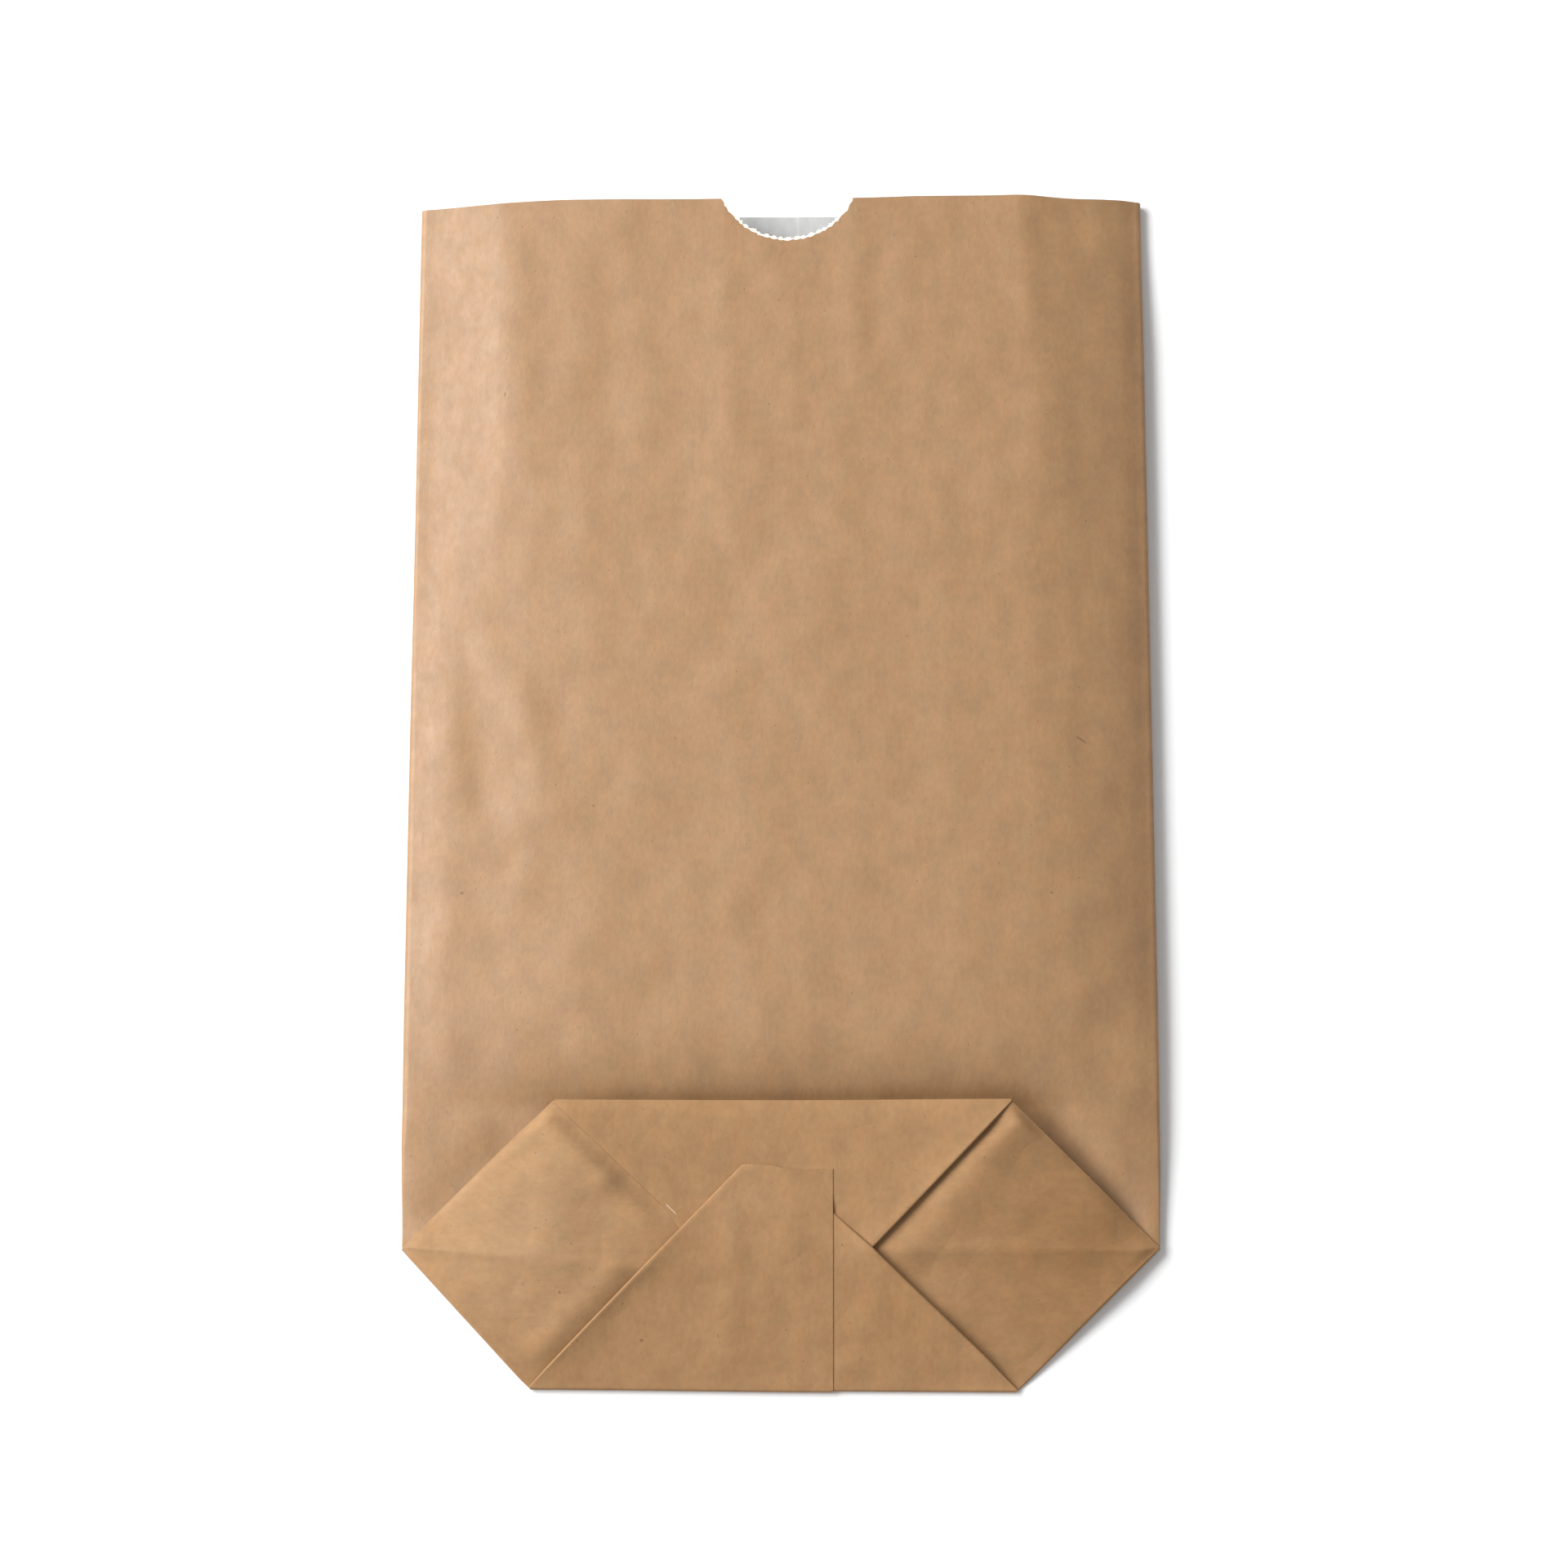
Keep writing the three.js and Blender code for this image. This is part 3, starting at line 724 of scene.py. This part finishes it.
def back_rows(columns):
    """The back wall's rows: at the mouth it ends lower than the front, but not at the sides."""
    near_side = smoothstep(np.abs(columns), BACK_LEVEL_TO, SIDE_TIP)
    end = lerp(-BACK_MOUTH_DROP, MOUTH_SKEW(columns), near_side)
    share = smoothstep(TUBE_ROWS[:, None], TUBE_ROWS[-MOUTH_ROWS], MOUTH_Y)
    return TUBE_ROWS[:, None] + share * end[None, :]


def add_tube(sheet):
    add_wall(sheet, FRONT, COLUMNS, front_rows(COLUMNS))
    left = columns_between(-SIDE_TIP, SEAM_X)
    right = columns_between(SEAM_X - SEAM_OVERLAP, SIDE_TIP)
    add_wall(sheet, BACK_LEFT, left, back_rows(left))
    add_wall(sheet, BACK_RIGHT, right, back_rows(right))
    add_side_fold(sheet, -1, BACK_LEFT)
    add_side_fold(sheet, 1, BACK_RIGHT)


def add_sliver(sheet, x, y, top):
    """A thin strip of white paper with its upper face at the height top."""
    first = len(sheet.kinds)
    sheet.add(grid_points(x, y, top), grid_points(x, y, top - SLIVER), grid_points(x, y))
    sheet.kinds[first][:] = Sheet.CUT


def add_white_line(sheet, ply, start, end, width):
    """A sliver of the white inside of the paper, showing along a cut edge of a ply."""
    share = np.linspace(0, 1, SLIVER_STEPS)[None, :]
    aside = width * np.array([-0.5, 0, 0.5])[:, None]
    (start_x, start_y), (end_x, end_y) = start, end
    length = math.hypot(end_x - start_x, end_y - start_y)
    x = lerp(start_x, end_x, share) - aside * (end_y - start_y) / length
    y = lerp(start_y, end_y, share) + aside * (end_x - start_x) / length
    add_sliver(sheet, x, y, ply.high(x, y) + SLIVER_RISE * np.array([0, 1, 0])[:, None])


def add_torn_edge(sheet):
    """The white core of the paper, torn into a ragged rim along the thumb notch."""
    reach = math.asin(NOTCH_HALF_WIDTH / NOTCH_RADIUS)
    steps = round(2 * reach * NOTCH_RADIUS * TEAR_STEPS_PER_MM)
    angle = np.linspace(-reach, reach, steps + 1)
    rng = np.random.default_rng(TEAR_SEED)
    along = np.arange(steps + 1) / TEAR_STEPS_PER_MM / TOOTH_PITCH
    ragged = np.convolve(rng.standard_normal(steps + 5), np.ones(5) / 5, "valid")
    teeth = 4 * np.abs((along + TOOTH_JITTER * ragged) % 1 - 0.5) - 1
    inner = NOTCH_RADIUS - TEAR_WIDTH - TOOTH_DEPTH * teeth + TEAR_WANDER * ragged
    outer = NOTCH_RADIUS + TEAR_OVERLAP + 0.5 * TOOTH_DEPTH * teeth + TEAR_WANDER * ragged
    radius = np.stack([outer, lerp(inner, outer, 0.5), inner])
    x = NOTCH_X + radius * np.sin(angle)
    y = np.minimum(NOTCH_Y - radius * np.cos(angle), MOUTH_Y)
    add_sliver(sheet, x, y, front_centre(x, y) + PAPER / 2 + np.array(TEAR_RISE)[:, None])


# ------------------------------------------------------------------ the folded bottom


def add_bottom_side(sheet, side, back):
    """The pocket on one side, and its edges tucked in under the flaps."""
    def span(near, far):
        return columns_between(near, far) if side > 0 else columns_between(-far, -near)

    upper_x = UPPER_RIGHT_X if side > 0 else -UPPER_LEFT_X
    lower_x = LOWER_RIGHT_X if side > 0 else -LOWER_LEFT_X
    up_out, down_out = (side * SLANT, SLANT), (side * SLANT, -SLANT)
    pocket = span(POCKET_END_X, SIDE_TIP)
    add_panel(sheet, POCKET, pocket, lower_diagonal, upper_diagonal, POCKET_ROWS)
    add_fold(sheet, BOARD, POCKET, span(upper_x, SIDE_TIP), upper_diagonal, up_out)
    add_fold(sheet, back, POCKET, span(lower_x, SIDE_TIP), lower_diagonal, down_out)
    above, below = span(POCKET_END_X, upper_x), span(POCKET_END_X, lower_x)
    add_fold(sheet, POCKET, UPPER_TUCK, above, upper_edge, (0, 1))
    add_fold(sheet, POCKET, LOWER_TUCK, below, lower_diagonal, (0, -1))
    add_panel(sheet, UPPER_TUCK, above, upper_flap_edge, upper_edge, TUCK_ROWS)
    add_fold(sheet, UPPER_TUCK, UPPER_FLAP, above, upper_flap_edge, down_out)
    flap = LOWER_RIGHT_FLAP if side > 0 else LOWER_LEFT_FLAP
    edge = lower_right_flap_edge if side > 0 else lower_left_flap_edge
    add_panel(sheet, LOWER_TUCK, below, lower_diagonal, edge, TUCK_ROWS)
    add_fold(sheet, LOWER_TUCK, flap, below, edge, up_out)


def add_bottom(sheet):
    within = columns_between(UPPER_LEFT_X, UPPER_RIGHT_X)
    left_back = columns_between(-SIDE_TIP, SEAM_X)
    right_back = columns_between(SEAM_X - SEAM_OVERLAP, SIDE_TIP)
    left_flap = columns_between(LOWER_LEFT_X, SEAM_X)
    right_flap = columns_between(SEAM_X - SEAM_OVERLAP, LOWER_RIGHT_X)
    add_panel(sheet, BACK_LEFT, left_back, left_lower_diagonal, tip_crease, BACK_ROWS)
    add_panel(sheet, BACK_RIGHT, right_back, lower_diagonal, tip_crease, BACK_ROWS)
    add_fold(sheet, FRONT, BOARD, COLUMNS, tip_crease, (0, -1))
    add_panel(sheet, BOARD, COLUMNS, tip_crease, upper_diagonal, BOARD_ROWS)
    add_fold(sheet, BOARD, UPPER_FLAP, within, upper_edge, (0, 1))
    add_panel(sheet, UPPER_FLAP, within, upper_flap_edge, upper_edge, FLAP_ROWS)
    add_fold(sheet, BACK_LEFT, LOWER_LEFT_FLAP, left_flap, left_lower_diagonal, (0, -1))
    add_fold(sheet, BACK_RIGHT, LOWER_RIGHT_FLAP, right_flap, lower_diagonal, (0, -1))
    left_edge, right_edge = lower_left_flap_edge, lower_right_flap_edge
    add_panel(sheet, LOWER_LEFT_FLAP, left_flap, left_lower_diagonal, left_edge, LEFT_FLAP_ROWS)
    add_panel(sheet, LOWER_RIGHT_FLAP, right_flap, lower_diagonal, right_edge, FLAP_ROWS)
    add_bottom_side(sheet, -1, BACK_LEFT)
    add_bottom_side(sheet, 1, BACK_RIGHT)
    for ply, start, end, width in WHITE_LINES:
        add_white_line(sheet, ply, start, end, width)


# ------------------------------------------------------------------ materials


class Nodes:
    """Short calls for building a material's node tree."""

    def __init__(self, name):
        self.material = bpy.data.materials.new(name)
        self.material.use_nodes = True
        self.tree = self.material.node_tree
        self.shader = self.tree.nodes["Principled BSDF"]

    def put(self, kind, inputs=None, **settings):
        node = self.tree.nodes.new(kind)
        for key, value in settings.items():
            setattr(node, key, value)
        for key, value in (inputs or {}).items():
            self.feed(node.inputs[key], value)
        return node

    def feed(self, socket, value):
        if isinstance(value, bpy.types.NodeSocket):
            self.tree.links.new(value, socket)
        else:
            socket.default_value = value

    def paint(self, inputs):
        for key, value in inputs.items():
            self.feed(self.shader.inputs[key], value)

    def blank(self, scale):
        """Millimetres on the flat blank, each axis multiplied by its scale."""
        place = self.put("ShaderNodeUVMap", uv_map="blank").outputs["UV"]
        stretch = tuple(1000 * s for s in scale)
        return self.put("ShaderNodeMapping", {"Vector": place, "Scale": stretch}).outputs["Vector"]

    def noise(self, scale, detail=3.0, roughness=0.55):
        vector = self.blank((*scale, 1))
        inputs = {"Vector": vector, "Scale": 1.0, "Detail": detail, "Roughness": roughness}
        return self.put("ShaderNodeTexNoise", inputs, noise_dimensions="2D").outputs["Fac"]

    def bump(self, height, strength, distance, under=None):
        """The normal of a relief, laid over the normal of another one where that is given."""
        inputs = {"Height": height, "Strength": strength, "Distance": distance}
        if under is not None:
            inputs["Normal"] = under
        return self.put("ShaderNodeBump", inputs).outputs["Normal"]

    def ellipse(self, centre, long, wide, turn):
        """The distance from the middle of an ellipse on the blank, which is 1 on its outline."""
        centre = (*centre, 0)
        turned = {"Vector": self.blank((1, 1, 1)), "Center": centre, "Angle": -turn}
        place = self.put("ShaderNodeVectorRotate", turned, rotation_type="Z_AXIS").outputs[0]
        shifted = self.vector("SUBTRACT", place, centre).outputs[0]
        fitted = self.vector("MULTIPLY", shifted, (1 / long, 1 / wide, 0)).outputs[0]
        return self.vector("LENGTH", fitted).outputs["Value"]

    def vector(self, operation, *values):
        return self.put("ShaderNodeVectorMath", dict(enumerate(values)), operation=operation)

    def span(self, value, low, high, to_low, to_high, smooth=False):
        kind = "SMOOTHSTEP" if smooth else "LINEAR"
        limits = {"From Min": low, "From Max": high, "To Min": to_low, "To Max": to_high}
        node = self.put("ShaderNodeMapRange", {"Value": value, **limits}, interpolation_type=kind)
        return node.outputs["Result"]

    def math(self, operation, first, second):
        return self.put("ShaderNodeMath", {0: first, 1: second}, operation=operation).outputs[0]

    def product(self, values):
        total = values[0]
        for value in values[1:]:
            total = self.math("MULTIPLY", total, value)
        return total

    def mix(self, share, first, second, blend="MIX"):
        node = self.put("ShaderNodeMix", data_type="RGBA", blend_type=blend)
        self.feed(node.inputs["Factor"], share)
        self.feed(node.inputs[6], first)
        self.feed(node.inputs[7], second)
        return node.outputs[2]


# Dark specks in the paper: place on the blank, half length, half width and turn.
SPECKS = [
    ((-68, 75), 0.45, 0.35, 0.3),
    ((-60.5, 186), 0.5, 0.25, 1.3),
    ((-40, 93.5), 0.3, 0.25, 0),
    ((57.5, 74.5), 0.3, 0.25, 0),
    ((64.5, 108), 1.3, 0.22, -0.6),
    ((-89, -33.3), 0.3, 0.25, 0.5),
    ((-129.7, -38.4), 0.4, 0.3, 0),
]


# Painted highlights, sheen and shade on the brown face: patches made paler where light is painted
# on and deeper where shade is painted on; centre on the blank, radius and gain in each colour.
PAINTED_LIGHT_PATCHES = [
    ((-76, -24), 34, (1.10, 1.19, 1.36, 1)),  # painted highlight and sheen on the left pocket
    ((-64, -35), 17, (1.11, 1.13, 1.17, 1)),
    ((80, -17), 32, (0.88, 0.83, 0.72, 1)),  # painted shade on the right pocket
    ((-150, -68), 15, (1.07, 1.09, 1.14, 1)),  # painted highlight and painted shade on the lower flap
    ((133, -44), 16, (0.92, 0.89, 0.81, 1)),
    ((-65, 39), 16, (0.91, 0.89, 0.86, 1)),  # painted shade and painted highlights on the front wall
    ((75, 40), 13, (1.19, 1.21, 1.23, 1)),
    ((75, 225), 17, (1.17, 1.19, 1.21, 1)),
    # painted shadow cast on the wall by the right end of the folded bottom
    ((73, 10), 10, (0.84, 0.81, 0.77, 1)),
]


REDDER_KRAFT, YELLOWER_KRAFT = (0.334, 0.177, 0.073, 1), (0.322, 0.178, 0.076, 1)
# The white inside paper is coloured a mid grey: its mottle is the paper's own, its darkness is
# painted shade for the inside of the bag.
INSIDE_SHADED_DIM, INSIDE_SHADED_BRIGHT = (0.46, 0.46, 0.455, 1), (0.52, 0.52, 0.515, 1)
EDGE_DIM, EDGE_BRIGHT = (0.80, 0.70, 0.58, 1), (0.93, 0.88, 0.82, 1)
FLOOR_WHITE = (0.92, 0.92, 0.92, 1)
SPECK_SHADE = 0.6  # how light the paper is inside a speck, next to the clear paper's 1
SPECK_OUTLINE = (0.6, 1.3)  # a speck fades out between these shares of its size
GRAIN_DISTANCE, COCKLE_DISTANCE = 0.00006, 0.0008  # metres of relief in the brown face
INSIDE_DISTANCE = 0.00005


def kraft_shade(nodes, streak, fibre):
    """How light the brown face is: clouds, streaks, blotches, fibres and specks."""
    cloud = nodes.noise((0.2, 0.15), detail=4)
    blotch = nodes.noise((0.8, 0.6), detail=3)
    dots = nodes.noise((1.3, 0.8), detail=1)
    shades = [
        nodes.span(cloud, 0.3, 0.7, 0.935, 1.055),
        nodes.span(streak, 0.3, 0.7, 0.995, 1.005),
        nodes.span(blotch, 0.3, 0.7, 0.97, 1.03),
        nodes.span(fibre, 0.3, 0.72, 0.98, 1.02),
        nodes.span(dots, 0.815, 0.85, 1, 0.62, smooth=True),
    ]
    for speck in SPECKS:
        away = nodes.ellipse(*speck)
        shades.append(nodes.span(away, *SPECK_OUTLINE, SPECK_SHADE, 1, smooth=True))
    return nodes.product(shades)


def kraft_colour(nodes, shade):
    """The brown face's colour: two tones of kraft, its shade, and patches of painted light and
    shade.
    """
    warm = nodes.noise((0.28, 0.2), detail=3)
    base = nodes.mix(nodes.span(warm, 0.35, 0.65, 0, 1), REDDER_KRAFT, YELLOWER_KRAFT)
    grey = nodes.put("ShaderNodeCombineColor", {"Red": shade, "Green": shade, "Blue": shade})
    colour = nodes.mix(1.0, base, grey.outputs["Color"], "MULTIPLY")
    for centre, radius, gain in PAINTED_LIGHT_PATCHES:
        # each patch lightens or deepens the colour: painted highlight or painted shade
        painted_light_colour = nodes.mix(1.0, colour, gain, "MULTIPLY")
        share = nodes.span(nodes.ellipse(centre, radius, radius, 0), 0, 1, 1, 0, smooth=True)
        colour = nodes.mix(share, colour, painted_light_colour)
    return colour


def kraft_relief(nodes, streak, fibre, folded):
    """The grain of the brown face, and soft cockles, which are crinkled in the folded bottom."""
    pimples = nodes.product([nodes.noise((1.1, 0.8), detail=2), 0.8])
    grain = nodes.math("ADD", nodes.product([fibre, 0.3]), nodes.product([streak, 0.2]))
    fine = nodes.bump(nodes.math("ADD", grain, pimples), 0.5, GRAIN_DISTANCE)
    fold_noise = nodes.math("SUBTRACT", nodes.noise((0.07, 0.08), detail=1), 0.5)
    crinkle = nodes.product([nodes.math("ABSOLUTE", fold_noise, 0), nodes.product([folded, 0.6])])
    cockle = nodes.math("ADD", nodes.noise((0.06, 0.05), detail=1, roughness=0.4), crinkle)
    return nodes.bump(cockle, 1.0, COCKLE_DISTANCE, under=fine)


def brown_kraft():
    nodes = Nodes("kraft_outside")
    streak = nodes.noise((0.9, 0.05), detail=3)
    fibre = nodes.noise((3.0, 0.9), detail=3, roughness=0.65)
    place = nodes.put("ShaderNodeSeparateXYZ", {"Vector": nodes.blank((1, 1, 1))}).outputs["Y"]
    folded = nodes.span(place, -3, 3, 1, 0)  # 1 in the folded bottom, which is duller, and 0 above
    rough = nodes.span(nodes.noise((0.5, 0.25), detail=3), 0.3, 0.7, 0.53, 0.61)
    nodes.paint({
        "Base Color": kraft_colour(nodes, kraft_shade(nodes, streak, fibre)),
        "Roughness": nodes.math("ADD", rough, nodes.product([folded, 0.25])),
        "Specular IOR Level": nodes.span(folded, 0, 1, 0.8, 0.55),
        "Normal": kraft_relief(nodes, streak, fibre, folded),
    })
    return nodes.material


def white_inside():
    nodes = Nodes("kraft_inside")
    shade = nodes.span(nodes.noise((0.5, 0.2), detail=4), 0.3, 0.7, 0, 1)
    nodes.paint({
        # a grey darker than white paper: painted shade for the inside of the bag
        "Base Color": nodes.mix(shade, INSIDE_SHADED_DIM, INSIDE_SHADED_BRIGHT),
        "Roughness": 0.75,
        "Normal": nodes.bump(nodes.noise((2.0, 1.2), detail=3), 0.4, INSIDE_DISTANCE),
    })
    return nodes.material


def cut_edge():
    nodes = Nodes("kraft_cut_edge")
    shade = nodes.span(nodes.noise((1.5, 1.5), detail=3), 0.3, 0.7, 0, 1)
    nodes.paint({"Base Color": nodes.mix(shade, EDGE_DIM, EDGE_BRIGHT), "Roughness": 0.8})
    return nodes.material


def floor_material():
    nodes = Nodes("pale_floor")
    nodes.paint({"Base Color": FLOOR_WHITE, "Roughness": 0.9, "Specular IOR Level": 0.1})
    return nodes.material


# ------------------------------------------------------------------ the scene


SHARP_ANGLE = math.radians(50)  # edges between faces that turn further than this stay sharp
FLOOR_SIZE = 6


def make_bag(low, high):
    origin = np.array([(low[0] + high[0]) / 2, low[1] + TIP_CREASE_UP * MM, low[2]])
    sheet = Sheet()
    add_tube(sheet)
    add_bottom(sheet)
    add_torn_edge(sheet)
    mesh = sheet.mesh("paper_bag_sheet", origin)
    work = bmesh.new()
    work.from_mesh(mesh)
    bmesh.ops.recalc_face_normals(work, faces=work.faces)
    work.to_mesh(mesh)
    work.free()
    for polygon in mesh.polygons:
        polygon.use_smooth = True
    mesh.set_sharp_from_angle(angle=SHARP_ANGLE)
    for material in (brown_kraft(), white_inside(), cut_edge()):
        mesh.materials.append(material)
    bag = bpy.data.objects.new("paper_bag_sheet", mesh)
    bpy.context.collection.objects.link(bag)
    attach(bag, "root")
    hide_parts(NODE)
    return bag


def make_floor(height):
    bpy.ops.mesh.primitive_plane_add(size=FLOOR_SIZE, location=(0, 0, height))
    floor = bpy.context.object
    floor.name = "floor"
    floor.data.materials.append(floor_material())


CAMERA_ELEVATION = math.radians(77.7)
CAMERA_DISTANCE = 0.800
CAMERA_LENS = 85.5
SENSOR_WIDTH = 36
CAMERA_AIM_OFFSET = Vector((0.0007, -0.0012, 0))


def aim(thing, target):
    thing.rotation_euler = (target - thing.location).to_track_quat("-Z", "Y").to_euler()


def make_camera(centre):
    camera = bpy.data.objects.new("camera", bpy.data.cameras.new("camera"))
    camera.data.lens = CAMERA_LENS
    camera.data.sensor_width = SENSOR_WIDTH
    camera.data.clip_start = 0.01
    target = centre + CAMERA_AIM_OFFSET
    direction = Vector((0, -math.cos(CAMERA_ELEVATION), math.sin(CAMERA_ELEVATION)))
    camera.location = target + CAMERA_DISTANCE * direction
    aim(camera, target)
    bpy.context.collection.objects.link(camera)
    bpy.context.scene.camera = camera


KEY_AZIMUTH = math.radians(22)  # from straight left, towards the mouth
KEY_ELEVATION = math.radians(38)
KEY_DISTANCE = 1.6
KEY_WIDTH = 1.5
KEY_HEIGHT = 0.9
KEY_POWER = 48.0
WORLD_STRENGTH = 0.43


def make_lights(centre):
    flat = math.cos(KEY_ELEVATION)
    direction = Vector((
        -flat * math.cos(KEY_AZIMUTH), flat * math.sin(KEY_AZIMUTH), math.sin(KEY_ELEVATION)
    ))
    data = bpy.data.lights.new("key", "AREA")
    data.shape = "RECTANGLE"
    data.size = KEY_WIDTH
    data.size_y = KEY_HEIGHT
    data.energy = KEY_POWER
    key = bpy.data.objects.new("key", data)
    key.location = centre + KEY_DISTANCE * direction
    aim(key, centre)
    bpy.context.collection.objects.link(key)
    world = bpy.data.worlds.new("studio")
    world.use_nodes = True
    background = world.node_tree.nodes["Background"]
    background.inputs["Color"].default_value = (1, 1, 1, 1)
    background.inputs["Strength"].default_value = WORLD_STRENGTH
    bpy.context.scene.world = world
    bpy.context.scene.view_settings.view_transform = "Standard"


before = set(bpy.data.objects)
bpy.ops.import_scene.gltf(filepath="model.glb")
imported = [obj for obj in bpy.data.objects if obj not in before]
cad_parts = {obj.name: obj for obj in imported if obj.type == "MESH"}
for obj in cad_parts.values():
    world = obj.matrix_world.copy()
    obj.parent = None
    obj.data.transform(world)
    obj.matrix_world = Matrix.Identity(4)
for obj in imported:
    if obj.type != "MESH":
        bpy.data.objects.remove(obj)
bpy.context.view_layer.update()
bag_low, bag_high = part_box(NODE)
bag_centre = (Vector(bag_low) + Vector(bag_high)) / 2
make_camera(bag_centre)
make_lights(bag_centre)
make_floor(bag_low[2])
make_bag(bag_low, bag_high)
